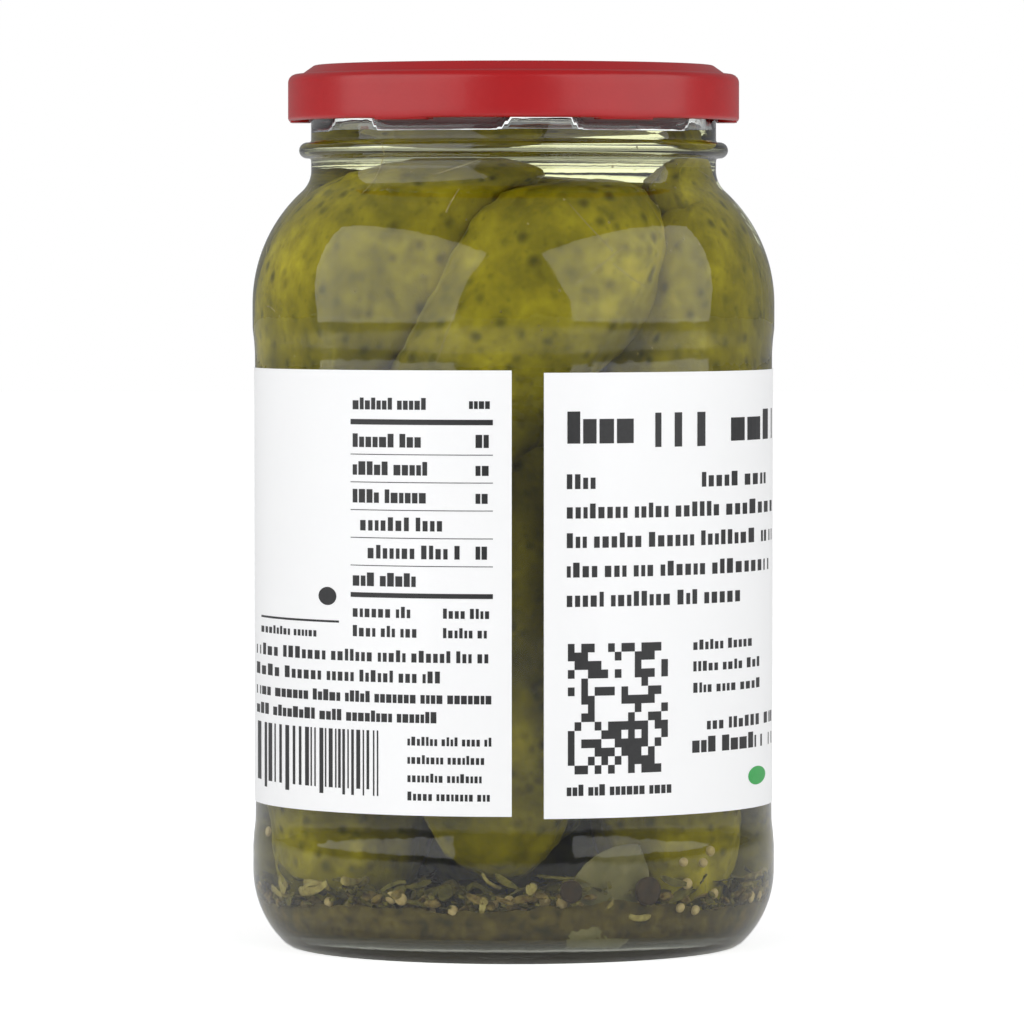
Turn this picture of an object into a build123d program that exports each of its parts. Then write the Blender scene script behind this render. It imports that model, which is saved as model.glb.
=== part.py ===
"""Glass jar of whole pickles in brine, closed with a pressed steel lug cap.

Frame: origin at the centre of the base, where the jar stands, +Z up, millimetres.
-Y is the side where the two ends of the wrap-around label leave a gap.
The pickles and spices are sunk in the brine, so the brine is one solid that fills
the glass up to its level.
"""

from build123d import *

import os
from math import asin, degrees, sqrt

# Glass jar, outside
jar_height = 167.6
body_radius = 49.8  # the two contact bands, below the shoulder and above the heel
panel_recess = 0.45  # the label panel lies this far behind the contact bands
panel_bottom = 24.5
panel_ease = 5.0  # height over which a contact band runs out into the panel
upper_band = 4.0  # straight height of the contact band below the shoulder
shoulder_radius = 29.0
neck_radius = 38.6
neck_blend = 5.4
finish_height = 19.7  # from the rim down to where the neck starts to flare
heel_radius = 19.0
heel_height = 14.5
foot_fillet = 1.2

# Glass jar, inside
wall = 2.8
rim_flat = 0.4  # width of the flat on the rim, between its two fillets
inner_heel_radius = 8.0
floor_edge = 3.4  # height of the inner floor where it meets the heel
floor_rise = 2.2  # how much the inner floor domes up at the centre

# Underside
bearing_width = 1.9  # width of the ring that the jar stands on, with its outer fillet
bearing_step = 1.2
bearing_run = 1.6
push_up = 2.8

# Finish: the transfer bead and the thread ridges that the cap's lugs catch
bead_drop = 15.9  # from the rim down to the middle of the bead
bead_section = 1.5
bead_proud = 2.3
bead_fillet = 0.5
lug_count = 6
thread_proud = 1.6
thread_thickness = 2.4
thread_arc = 40.0
thread_lead = 8.0  # how far the middle of a ridge lies past the lug it holds, in degrees

# Cap
sheet = 0.3
skirt_gap = 4.1  # between the neck and the inside of the skirt
cap_height = 10.6
cap_shoulder = 1.7
cap_shoulder_fillet = 1.4
cap_step_run = 2.4
ring_over = 0.6  # the raised ring runs this far out past the flat of the rim
recess_inset = 3.0  # the sunk panel ends this far inside the bore
cap_recess = 1.3
button_radius = 11.0
button_rise = 0.6
press_run = 1.2  # width of each slope pressed into the cap
press_fillet = 0.5
ring_fillet = 1.0
curl_section = 0.75
lug_tip_gap = 0.6  # between the neck and the tip of a lug
lug_thickness = 1.7
lug_arc = 15.0
lug_below_curl = 0.3
lug_play = 0.1  # between a lug and the ridge above it
lug_fillet = 0.4

# Label
label_margin = 3.25  # bare panel left above and below the label
label_thickness = 0.15
label_gap = 6.9  # degrees between the two ends
label_gap_middle = -86.95  # direction of the gap, degrees from +X

# Contents
headspace = 13.2  # from the rim down to the brine

# Places that follow from the sizes above
panel_radius = body_radius - panel_recess
inner_radius = body_radius - wall
bore_radius = neck_radius - wall
rim_fillet = (wall - rim_flat) / 2
bead_height = jar_height - bead_drop
brine_level = jar_height - headspace

shoulder_centre = body_radius - shoulder_radius
blend_centre = neck_radius + neck_blend
blend_reach = shoulder_radius + neck_blend
blend_rise = sqrt(blend_reach**2 - (blend_centre - shoulder_centre) ** 2)
blend_height = jar_height - finish_height
shoulder_start = blend_height - blend_rise
shoulder_angle = degrees(asin(blend_rise / blend_reach))
panel_top = shoulder_start - upper_band - panel_ease

heel_centre = body_radius - heel_radius
heel_angle = degrees(asin(heel_height / heel_radius))
foot_radius = heel_centre + sqrt(heel_radius**2 - heel_height**2)
bearing_radius = foot_radius - bearing_width

cap_radius = neck_radius + skirt_gap + sheet
cap_top = jar_height + sheet
cap_bottom = cap_top - cap_height
ring_outer = neck_radius - rim_fillet + ring_over
recess_radius = bore_radius - recess_inset
recess_height = cap_top - cap_recess
lug_tip = neck_radius + lug_tip_gap
lug_root = cap_radius - curl_section / 2
lug_bottom = cap_bottom - lug_below_curl
ridge_bottom = lug_bottom + lug_thickness + lug_play


def shoulder_and_neck(inset):
    """Draw the shoulder and neck curves in the open BuildLine, inset from the outer skin."""
    CenterArc((shoulder_centre, shoulder_start), shoulder_radius - inset, 0, shoulder_angle)
    CenterArc((blend_centre, blend_height), neck_blend + inset, 180 + shoulder_angle, -shoulder_angle)


def dome(run, edge_height, top_height):
    """Draw an arc in the open BuildLine, from the radius run up to the axis, which it meets level."""
    rise = top_height - edge_height
    radius = (run**2 + rise**2) / (2 * rise)
    half_angle = degrees(asin(run / radius))
    CenterArc((0, top_height - radius), radius, 90 - half_angle, half_angle)


def section_plane(angle):
    """The drawing plane turned by an angle about Z, where x is the radius and y is the height."""
    across = Vector(1, 0, 0).rotate(Axis.Z, angle)
    normal = Vector(0, -1, 0).rotate(Axis.Z, angle)
    return Plane((0, 0, 0), x_dir=across, z_dir=normal)


def around(arc, middle):
    """Start angles of features that span an arc each, one for every lug, the first at middle."""
    return [middle - arc / 2 + 360 / lug_count * i for i in range(lug_count)]


# The space inside the glass, from the floor to the rim
with BuildPart() as cavity:
    with BuildSketch(Plane.XZ):
        with BuildLine():
            floor_end = inner_radius - inner_heel_radius
            dome(floor_end, floor_edge, floor_edge + floor_rise)
            CenterArc((floor_end, floor_edge + inner_heel_radius), inner_heel_radius, -90, 90)
            Line((inner_radius, floor_edge + inner_heel_radius), (inner_radius, shoulder_start))
            shoulder_and_neck(wall)
            Polyline(
                (bore_radius, blend_height),
                (bore_radius, jar_height),
                (0, jar_height),
                (0, floor_edge + floor_rise),
            )
        make_face()
    revolve(axis=Axis.Z)

# The glass
with BuildPart() as jar:
    with BuildSketch(Plane.XZ) as outline:
        with BuildLine():
            Line((0, 0), (foot_radius, 0))
            CenterArc((heel_centre, heel_height), heel_radius, -heel_angle, heel_angle)
            Line((body_radius, heel_height), (body_radius, panel_bottom - panel_ease))
            Spline(
                (body_radius, panel_bottom - panel_ease),
                (panel_radius, panel_bottom),
                tangents=((0, 1), (0, 1)),
            )
            Line((panel_radius, panel_bottom), (panel_radius, panel_top))
            Spline(
                (panel_radius, panel_top),
                (body_radius, panel_top + panel_ease),
                tangents=((0, 1), (0, 1)),
            )
            Line((body_radius, panel_top + panel_ease), (body_radius, shoulder_start))
            shoulder_and_neck(0)
            Polyline((neck_radius, blend_height), (neck_radius, jar_height), (0, jar_height), (0, 0))
        make_face()
        with Locations((neck_radius + bead_proud - bead_section, bead_height)):
            Circle(bead_section)
        creases = outline.vertices().filter_by_position(
            Axis.Y, bead_height - bead_section, bead_height + bead_section
        )
        fillet(creases.group_by(Axis.X)[0], bead_fillet)
    revolve(axis=Axis.Z)
    foot = jar.faces().sort_by(Axis.Z)[0]
    fillet(foot.edges().filter_by(GeomType.CIRCLE), foot_fillet)

    # Thread ridges, one over each lug of the cap
    for start in around(thread_arc, thread_lead):
        with BuildSketch(section_plane(start)):
            ridge_centre = neck_radius + thread_proud - thread_thickness / 2
            with Locations((ridge_centre, ridge_bottom + thread_thickness / 2)):
                Circle(thread_thickness / 2)
        revolve(axis=Axis.Z, revolution_arc=thread_arc)

    add(cavity.part, mode=Mode.SUBTRACT)
    rim = jar.faces().sort_by(Axis.Z)[-1]
    fillet(rim.edges(), rim_fillet)

    # Push-up under the base
    with BuildSketch(Plane.XZ):
        with BuildLine():
            Polyline((0, 0), (bearing_radius, 0), (bearing_radius - bearing_run, bearing_step))
            dome(bearing_radius - bearing_run, bearing_step, push_up)
            Line((0, push_up), (0, 0))
        make_face()
    revolve(axis=Axis.Z, mode=Mode.SUBTRACT)

# The pressed steel cap: a thin shell, its curled edge and the lugs bent in from it
with BuildPart() as cap:
    with BuildSketch(Plane.XZ):
        with BuildLine():
            FilletPolyline(
                (0, recess_height + button_rise),
                (button_radius, recess_height + button_rise),
                (button_radius + press_run, recess_height),
                (recess_radius, recess_height),
                (recess_radius + press_run, cap_top),
                (ring_outer, cap_top),
                (ring_outer + cap_step_run, cap_top - cap_shoulder),
                (cap_radius, cap_top - cap_shoulder),
                (cap_radius, cap_bottom + curl_section),
                radius=[press_fillet] * 4 + [ring_fillet] * 2 + [cap_shoulder_fillet],
            )
            Polyline(
                (cap_radius, cap_bottom + curl_section),
                (0, cap_bottom + curl_section),
                (0, recess_height + button_rise),
            )
        make_face()
    revolve(axis=Axis.Z)
    offset(amount=-sheet, openings=cap.faces().sort_by(Axis.Z)[0])

    with BuildSketch(Plane.XZ):
        with Locations((cap_radius - curl_section, cap_bottom + curl_section)):
            Circle(curl_section)
    revolve(axis=Axis.Z)

    for start in around(lug_arc, 0):
        with BuildSketch(section_plane(start)):
            with Locations(((lug_tip + lug_root) / 2, lug_bottom + lug_thickness / 2)):
                RectangleRounded(lug_root - lug_tip, lug_thickness, lug_fillet)
        revolve(axis=Axis.Z, revolution_arc=lug_arc)

# The paper label, wrapped on the panel and glued to it all over
with BuildPart() as label:
    with BuildSketch(section_plane(label_gap_middle + label_gap / 2)):
        with Locations((panel_radius, panel_bottom + label_margin)):
            Rectangle(
                label_thickness,
                panel_top - panel_bottom - 2 * label_margin,
                align=(Align.MIN, Align.MIN),
            )
    revolve(axis=Axis.Z, revolution_arc=360 - label_gap)

# The brine, with all that is sunk in it
with BuildPart() as brine:
    add(cavity.part)
    split(bisect_by=Plane.XY.offset(brine_level), keep=Keep.BOTTOM)

jar.part.label = "jar"
cap.part.label = "cap"
label.part.label = "label"
brine.part.label = "brine"

os.makedirs("parts", exist_ok=True)
export_step(jar.part, "parts/jar.step")
export_step(cap.part, "parts/cap.step")
export_step(label.part, "parts/label.step")
export_step(brine.part, "parts/brine.step")

for piece in (jar, cap, label, brine):
    print(piece.part.label, "volume", round(piece.part.volume), "mm3")
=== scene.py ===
import math
import random

import bmesh
import bpy
from mathutils import Matrix, Vector, noise


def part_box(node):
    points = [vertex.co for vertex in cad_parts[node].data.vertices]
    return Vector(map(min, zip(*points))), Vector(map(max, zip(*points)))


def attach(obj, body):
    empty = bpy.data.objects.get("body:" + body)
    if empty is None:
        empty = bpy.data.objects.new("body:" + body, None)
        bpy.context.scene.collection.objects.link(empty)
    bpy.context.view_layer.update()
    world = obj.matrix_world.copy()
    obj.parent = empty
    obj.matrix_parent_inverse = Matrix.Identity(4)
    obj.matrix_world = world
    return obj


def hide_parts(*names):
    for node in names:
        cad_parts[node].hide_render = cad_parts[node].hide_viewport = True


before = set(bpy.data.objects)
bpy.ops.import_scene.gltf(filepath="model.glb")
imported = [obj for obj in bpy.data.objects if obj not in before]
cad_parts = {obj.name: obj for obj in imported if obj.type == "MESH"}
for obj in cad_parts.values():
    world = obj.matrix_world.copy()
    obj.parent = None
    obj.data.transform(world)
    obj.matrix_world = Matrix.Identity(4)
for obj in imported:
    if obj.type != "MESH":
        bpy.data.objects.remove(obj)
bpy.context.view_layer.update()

mm = 0.001
scene = bpy.context.scene
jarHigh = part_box("jar")[1]
capLow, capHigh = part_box("cap")
labelLow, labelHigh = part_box("label")
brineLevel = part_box("brine")[1].z
print("frame loaded")


# shared mesh helpers

def finishPiece(name, bm, material, smooth=True):
    mesh = bpy.data.meshes.new(name)
    bm.to_mesh(mesh)
    bm.free()
    for face in mesh.polygons:
        face.use_smooth = smooth
    piece = bpy.data.objects.new(name, mesh)
    scene.collection.objects.link(piece)
    mesh.materials.append(material)
    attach(piece, "root")
    return piece


def arcPoints(centreR, centreZ, radius, startDeg, endDeg, steps):
    points = []
    for i in range(steps + 1):
        angle = math.radians(startDeg + (endDeg - startDeg) * i / steps)
        points.append((centreR + radius * math.cos(angle), centreZ + radius * math.sin(angle)))
    return points


# corners holds (r, z, fillet); returns the path with its corners rounded
def roundedPath(corners, steps=5):
    path = []
    for i, (r, z, fillet) in enumerate(corners):
        here = Vector((r, z))
        if fillet == 0 or i in (0, len(corners) - 1):
            path.append((r, z))
            continue
        before = (Vector(corners[i - 1][:2]) - here).normalized()
        after = (Vector(corners[i + 1][:2]) - here).normalized()
        half = before.angle(after) / 2
        cut = fillet / math.tan(half)
        middle = here + (before + after).normalized() * (fillet / math.sin(half))
        first, last = here + before * cut, here + after * cut
        for k in range(steps + 1):
            spoke = (first - middle).lerp(last - middle, k / steps).normalized() * fillet
            path.append(tuple(middle + spoke))
    return path


# points are (radius, height) in mm, turned about Z
def spinProfile(bm, points, steps):
    verts = [bm.verts.new((r * mm, 0, z * mm)) for r, z in points]
    edges = [bm.edges.new(pair) for pair in zip(verts, verts[1:])]
    bmesh.ops.spin(bm, geom=verts + edges, axis=(0, 0, 1), cent=(0, 0, 0),
                   angle=2 * math.pi, steps=steps, use_merge=True)
    bmesh.ops.remove_doubles(bm, verts=bm.verts[:], dist=0.00001)
    bmesh.ops.recalc_face_normals(bm, faces=bm.faces[:])


# shared material helpers

def newMaterial(name):
    material = bpy.data.materials.new(name)
    material.use_nodes = True
    nodes = material.node_tree.nodes
    return material, nodes, material.node_tree.links, nodes["Principled BSDF"]


# dots and blotches: Scale and Dot Size in, Blotch and Dot masks out
def makeSpotGroup():
    group = bpy.data.node_groups.new("spotMask", "ShaderNodeTree")
    face = group.interface
    face.new_socket("Vector", in_out="INPUT", socket_type="NodeSocketVector")
    for name, value in (("Blotch Scale", 60.0), ("Dot Scale", 400.0), ("Dot Size", 0.25)):
        face.new_socket(name, in_out="INPUT", socket_type="NodeSocketFloat").default_value = value
    face.new_socket("Blotch", in_out="OUTPUT", socket_type="NodeSocketFloat")
    face.new_socket("Dot", in_out="OUTPUT", socket_type="NodeSocketFloat")
    nodes, links = group.nodes, group.links
    enter, leave = nodes.new("NodeGroupInput"), nodes.new("NodeGroupOutput")
    blotch = nodes.new("ShaderNodeTexNoise")
    blotch.inputs["Detail"].default_value = 5
    blotch.inputs["Roughness"].default_value = 0.62
    contrast = nodes.new("ShaderNodeMapRange")
    contrast.inputs["From Min"].default_value = 0.33
    contrast.inputs["From Max"].default_value = 0.67
    cells = nodes.new("ShaderNodeTexVoronoi")
    edge = nodes.new("ShaderNodeMapRange")
    edge.interpolation_type = "SMOOTHSTEP"
    edge.inputs["From Min"].default_value = 0.0
    edge.inputs["To Min"].default_value = 1.0
    edge.inputs["To Max"].default_value = 0.0
    links.new(enter.outputs["Vector"], blotch.inputs["Vector"])
    links.new(enter.outputs["Vector"], cells.inputs["Vector"])
    links.new(enter.outputs["Blotch Scale"], blotch.inputs["Scale"])
    links.new(enter.outputs["Dot Scale"], cells.inputs["Scale"])
    links.new(enter.outputs["Dot Size"], edge.inputs["From Max"])
    links.new(blotch.outputs["Fac"], contrast.inputs["Value"])
    links.new(cells.outputs["Distance"], edge.inputs["Value"])
    links.new(contrast.outputs["Result"], leave.inputs["Blotch"])
    links.new(edge.outputs["Result"], leave.inputs["Dot"])
    return group


spotGroup = makeSpotGroup()


def addSpots(nodes, links, blotchScale, dotScale, dotSize, offset=(0, 0, 0)):
    place = nodes.new("ShaderNodeTexCoord")
    shift = nodes.new("ShaderNodeMapping")
    shift.inputs["Location"].default_value = offset
    spots = nodes.new("ShaderNodeGroup")
    spots.node_tree = spotGroup
    spots.inputs["Blotch Scale"].default_value = blotchScale
    spots.inputs["Dot Scale"].default_value = dotScale
    spots.inputs["Dot Size"].default_value = dotSize
    links.new(place.outputs["Object"], shift.inputs["Vector"])
    links.new(shift.outputs["Vector"], spots.inputs["Vector"])
    return spots


# colours are RGB triples or sockets
def mixColour(nodes, links, mask, colourA, colourB):
    mix = nodes.new("ShaderNodeMix")
    mix.data_type = "RGBA"
    links.new(mask, mix.inputs["Factor"])
    for key, colour in ((6, colourA), (7, colourB)):
        if isinstance(colour, tuple):
            mix.inputs[key].default_value = (*colour, 1)
        else:
            links.new(colour, mix.inputs[key])
    return mix.outputs[2]


def joinMath(nodes, links, operation, first, second):
    join = nodes.new("ShaderNodeMath")
    join.operation = operation
    links.new(first, join.inputs[0])
    if isinstance(second, float):
        join.inputs[1].default_value = second
    else:
        links.new(second, join.inputs[1])
    return join.outputs[0]


def addBump(nodes, links, shader, height, strength, distance):
    bump = nodes.new("ShaderNodeBump")
    bump.inputs["Strength"].default_value = strength
    bump.inputs["Distance"].default_value = distance
    links.new(height, bump.inputs["Height"])
    links.new(bump.outputs["Normal"], shader.inputs["Normal"])


# a shadow ray passes the clear piece straight, so lamps reach what is inside
def letLampsThrough(material, nodes, links, shader, tint):
    path = nodes.new("ShaderNodeLightPath")
    clear = nodes.new("ShaderNodeBsdfTransparent")
    clear.inputs["Color"].default_value = (*tint, 1)
    mix = nodes.new("ShaderNodeMixShader")
    links.new(path.outputs["Is Shadow Ray"], mix.inputs["Fac"])
    links.new(shader.outputs["BSDF"], mix.inputs[1])
    links.new(clear.outputs["BSDF"], mix.inputs[2])
    links.new(mix.outputs["Shader"], nodes["Material Output"].inputs["Surface"])


# glass jar

glass = {
    "panelRecess": 0.45, "panelBottom": 24.5, "panelTop": 113.5, "bandEase": 5.0,
    "shoulderRadius": 29.0, "neckRadius": 38.6, "neckBlend": 5.4, "finishHeight": 19.7,
    "heelRadius": 19.0, "heelHeight": 14.5, "wall": 2.8, "innerHeel": 8.0,
    "floorEdge": 3.4, "floorRise": 2.2, "pushUp": 2.8, "bearingStep": 1.2,
    "beadDrop": 15.9, "beadRadius": 1.5, "beadProud": 2.3,
    "ridgeProud": 1.6, "ridgeThickness": 2.4, "ridgeArc": 40, "ridgeLead": 8, "ridgeDrop": 7.6,
    "beadCrease": ((0.02, 1.9), (0.25, 1.45)),  # out from the neck and away from the middle of the bead
    "ripple": 0.05, "rimFillet": 1.2, "bearingWidth": 1.9, "bearingRun": 1.6,
    "wetMirror": 0.1, "wetLow": 3, "wetFloor": 12, "steps": 224,
}
outerR, rimZ = jarHigh.x / mm, jarHigh.z / mm
blendZ = rimZ - glass["finishHeight"]
shoulderCentre = outerR - glass["shoulderRadius"]
blendCentre = glass["neckRadius"] + glass["neckBlend"]
blendReach = glass["shoulderRadius"] + glass["neckBlend"]
blendRise = math.sqrt(blendReach**2 - (blendCentre - shoulderCentre)**2)
shoulderZ = blendZ - blendRise
shoulderDeg = math.degrees(math.asin(blendRise / blendReach))
beadZ = rimZ - glass["beadDrop"]
panelR = outerR - glass["panelRecess"]
innerR = outerR - glass["wall"]
boreR = glass["neckRadius"] - glass["wall"]


def shoulderPath(inset):
    path = arcPoints(shoulderCentre, shoulderZ, glass["shoulderRadius"] - inset, 0, shoulderDeg, 26)
    return path + arcPoints(blendCentre, blendZ, glass["neckBlend"] + inset,
                            180 + shoulderDeg, 180, 8)[1:]


def domePath(run, edgeZ, topZ, steps):
    rise = topZ - edgeZ
    radius = (run**2 + rise**2) / (2 * rise)
    half = math.degrees(math.asin(run / radius))
    return arcPoints(0, topZ - radius, radius, 90, 90 - half, steps)


# from the axis at the floor, up the wall to topZ
def innerPath(inset, topZ):
    floorR = innerR - glass["innerHeel"]
    path = domePath(floorR, glass["floorEdge"] + inset, glass["floorEdge"] + glass["floorRise"] + inset, 10)
    path += arcPoints(floorR, glass["floorEdge"] + glass["innerHeel"], glass["innerHeel"] - inset,
                      -90, 0, 12)[1:]
    wallSteps = 10
    lowZ = glass["floorEdge"] + glass["innerHeel"]
    path += [(innerR - inset, lowZ + (shoulderZ - lowZ) * i / wallSteps) for i in range(1, wallSteps)]
    path += shoulderPath(glass["wall"] + inset)
    return path + [(boreR - inset, topZ)]


# how far the skin lies behind the contact bands at height z
def bandEase(z):
    def smooth(t):
        t = min(max(t, 0), 1)
        return t * t * (3 - 2 * t)
    low = smooth((z - glass["panelBottom"] + glass["bandEase"]) / glass["bandEase"])
    high = smooth((z - glass["panelTop"]) / glass["bandEase"])
    return glass["panelRecess"] * (low - high)


def outerPath():
    heelCentre = outerR - glass["heelRadius"]
    heelDeg = math.degrees(math.asin(glass["heelHeight"] / glass["heelRadius"]))
    footR = heelCentre + glass["heelRadius"] * math.cos(math.radians(heelDeg))
    bearingR = footR - glass["bearingWidth"]
    path = domePath(bearingR - glass["bearingRun"], glass["bearingStep"], glass["pushUp"], 8)
    path += [(bearingR - 0.5, 0.15), (bearingR, 0), (footR - 0.6, 0), (footR - 0.15, 0.12),
             (footR + 0.3, 0.5)]
    path += arcPoints(heelCentre, glass["heelHeight"], glass["heelRadius"], 3 - heelDeg, 0, 18)
    bandSteps = 46
    path += [(outerR - bandEase(z), z) for z in
             (glass["heelHeight"] + (shoulderZ - glass["heelHeight"]) * i / bandSteps
              for i in range(1, bandSteps))]
    path += shoulderPath(0)
    beadR = glass["neckRadius"] + glass["beadProud"] - glass["beadRadius"]
    crease = [(glass["neckRadius"] + out, away) for out, away in glass["beadCrease"]]
    path += [(r, beadZ - away) for r, away in crease]
    path += arcPoints(beadR, beadZ, glass["beadRadius"], -75, 75, 10)
    path += [(r, beadZ + away) for r, away in reversed(crease)]
    ridgeZ = rimZ - glass["ridgeDrop"]
    path += [(glass["neckRadius"], ridgeZ + glass["ridgeThickness"] * (i / 12 - 0.5)) for i in range(13)]
    fillet = glass["rimFillet"]
    path += arcPoints(glass["neckRadius"] - fillet, rimZ - fillet, fillet, 0, 90, 6)
    path += arcPoints(boreR + fillet, rimZ - fillet, fillet, 90, 180, 6)
    return path


def makeGlassMaterial(name, mirror):
    material, nodes, links, shader = newMaterial(name)
    shader.inputs["Specular Tint"].default_value = (mirror, mirror, mirror, 1)
    shader.inputs["Transmission Weight"].default_value = 1
    shader.inputs["Metallic"].default_value = 0
    shader.inputs["IOR"].default_value = 1.5
    shader.inputs["Roughness"].default_value = 0.0
    spots = addSpots(nodes, links, 22, 260, 0.1)
    colour = mixColour(nodes, links, spots.outputs["Blotch"], (0.965, 0.985, 0.975), (0.985, 0.995, 0.985))
    links.new(colour, shader.inputs["Base Color"])
    addBump(nodes, links, shader, spots.outputs["Blotch"], 0.12, 0.0006)
    letLampsThrough(material, nodes, links, shader, (0.96, 0.985, 0.97))
    return material


def makeJar():
    bm = bmesh.new()
    inside = innerPath(0, rimZ - glass["rimFillet"])
    spinProfile(bm, outerPath() + list(reversed(inside))[1:], glass["steps"])
    ridgeZ = rimZ - glass["ridgeDrop"]
    half = glass["ridgeThickness"] / 2
    for vert in bm.verts:
        r, z = vert.co.xy.length / mm, vert.co.z / mm
        if r < glass["neckRadius"] - 0.5 and z > 8:
            continue
        angle = math.atan2(vert.co.y, vert.co.x)
        away = abs(z - ridgeZ) / half
        if away < 1 and r > glass["neckRadius"] - 0.5 and z > blendZ:
            turn = (math.degrees(angle) - glass["ridgeLead"] + 30) % 60 - 30
            ramp = min(max((glass["ridgeArc"] / 2 - abs(turn)) / 3, 0), 1)
            push = glass["ridgeProud"] * math.sqrt(1 - away * away) * ramp
        else:  # faint waviness of blown glass
            push = glass["ripple"] * noise.noise(Vector((math.cos(angle), math.sin(angle), z / 60)) * 2.2)
            push *= min(max((z - 3) / 12, 0), 1) * min(max((blendZ - z) / 12, 0), 1)
        vert.co.xy *= 1 + push / max(r, 1)
    bm.normal_update()
    for face in bm.faces:  # where brine wets the glass, hardly anything mirrors
        middle = face.calc_center_median()
        inward = face.normal.xy.dot(middle.xy.normalized()) < -0.3
        upward = face.normal.z > 0.3 and middle.z < glass["wetFloor"] * mm
        wet = (inward or upward) and glass["wetLow"] * mm < middle.z < brineLevel
        face.material_index = int(wet)
    piece = finishPiece("glassJar", bm, makeGlassMaterial("clearGlass", 1.0))
    piece.data.materials.append(makeGlassMaterial("wetGlass", glass["wetMirror"]))
    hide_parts("jar")


makeJar()
print("glass made")


# brine

brine = {
    "reach": 0.2, "meniscus": 0.7, "colour": (0.985, 0.985, 0.90),
    "absorb": (0.80, 0.79, 0.10), "density": 9.0,
}


def makeBrineMaterial():
    material, nodes, links, shader = newMaterial("clearBrine")
    shader.inputs["Specular Tint"].default_value = (0.15, 0.15, 0.15, 1)
    shader.inputs["Transmission Weight"].default_value = 1
    shader.inputs["Metallic"].default_value = 0
    shader.inputs["IOR"].default_value = 1.34
    shader.inputs["Roughness"].default_value = 0.0
    spots = addSpots(nodes, links, 35, 300, 0.1)
    colour = mixColour(nodes, links, spots.outputs["Blotch"], brine["colour"], (0.975, 0.975, 0.87))
    links.new(colour, shader.inputs["Base Color"])
    volume = nodes.new("ShaderNodeVolumeAbsorption")
    volume.inputs["Color"].default_value = (*brine["absorb"], 1)
    volume.inputs["Density"].default_value = brine["density"]
    links.new(volume.outputs["Volume"], nodes["Material Output"].inputs["Volume"])
    letLampsThrough(material, nodes, links, shader, (1, 1, 0.96))
    return material


def makeBrine():
    bm = bmesh.new()
    levelZ = brineLevel / mm
    edgeR = boreR + brine["reach"]
    path = innerPath(-brine["reach"], levelZ)[:-1]
    path += [(edgeR, levelZ - 2), (edgeR, levelZ + brine["meniscus"])]
    path += [(edgeR - 0.5, levelZ + brine["meniscus"] * 0.55),
             (edgeR - 1.2, levelZ + brine["meniscus"] * 0.15)]
    path += [(edgeR - 2.4, levelZ), (edgeR * 0.5, levelZ), (0, levelZ)]
    spinProfile(bm, path, 160)
    piece = finishPiece("brineFill", bm, makeBrineMaterial())
    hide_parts("brine")


makeBrine()
print("brine made")


# pickles

pickleSkin = {
    "ridges": 9, "ridgeDepth": 0.35, "wartHeight": 0.55, "wartSpacing": 4.4, "wartReach": 0.4,
    "lump": 2.3, "dent": 0.5, "fine": 0.16, "glassGap": 0.35,
}

# middle (x, y, z), length, radius, lean to +X and towards -Y in degrees, bend, seed; mm
pickles = {
    "pickleUpperLeft": ((-26, -15, 120), 82, 17.5, 36, -5, -9, 1),
    "pickleUpperMiddle": ((-3, -28, 108), 84, 15.5, 31, -10, -3, 2),
    "pickleUpperRight": ((31, -17, 103), 80, 15.5, 3, -7, -6, 3),
    "pickleUpperBack": ((6, 19, 118), 80, 16.0, -52, 0, 8, 4),
    "pickleUpperFar": ((-20, 22, 116), 66, 15.0, -14, 10, -7, 5),
    "pickleUpperEnd": ((27, -11, 133), 40, 9.5, 18, 0, 3, 6),
    "pickleLowerLeft": ((-29, -12, 46), 84, 15.0, -3, 0, 3, 7),
    "pickleLowerMiddle": ((0, 0, 56), 84, 14.5, 2, -2, 4, 8),
    "pickleLowerSeam": ((-2, -31, 57), 84, 14.5, 2, -1, -3, 9),
    "pickleLowerRight": ((27, -17, 45), 84, 15.0, 4, 1, -3, 10),
    "pickleLowerEast": ((27, 15, 50), 84, 15.5, -3, -3, 4, 11),
    "pickleLowerBack": ((2, 31, 47), 84, 15.5, 3, -2, -4, 12),
    "pickleLowerWest": ((-27, 18, 48), 82, 15.5, 4, -3, 4, 13),
}


def makePickleMaterial():
    material, nodes, links, shader = newMaterial("pickleSkin")
    spots = addSpots(nodes, links, 42, 235, 0.40)
    fine = addSpots(nodes, links, 230, 520, 0.34, (0.3, 0.1, 0.2))
    skin = mixColour(nodes, links, spots.outputs["Blotch"], (0.11, 0.093, 0.004), (0.56, 0.46, 0.015))
    grain = joinMath(nodes, links, "MULTIPLY", fine.outputs["Blotch"], 0.55)
    skin = mixColour(nodes, links, grain, skin, (0.15, 0.125, 0.006))
    wart = nodes.new("ShaderNodeVertexColor")
    wart.layer_name = "wart"
    skin = mixColour(nodes, links, joinMath(nodes, links, "MULTIPLY", wart.outputs["Color"], 0.5),
                     skin, (0.06, 0.055, 0.004))
    skin = mixColour(nodes, links, joinMath(nodes, links, "MULTIPLY", spots.outputs["Dot"], 0.72),
                     skin, (0.045, 0.042, 0.004))
    skin = mixColour(nodes, links, joinMath(nodes, links, "MULTIPLY", fine.outputs["Dot"], 0.3),
                     skin, (0.07, 0.065, 0.005))
    links.new(skin, shader.inputs["Base Color"])
    shader.inputs["Roughness"].default_value = 0.42
    shader.inputs["IOR"].default_value = 1.15
    relief = joinMath(nodes, links, "ADD", fine.outputs["Blotch"], spots.outputs["Dot"])
    addBump(nodes, links, shader, relief, 0.35, 0.0004)
    return material


pickleMaterial = makePickleMaterial()
innerWall = innerPath(0, rimZ)[10:]  # from the edge of the floor upwards


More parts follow.
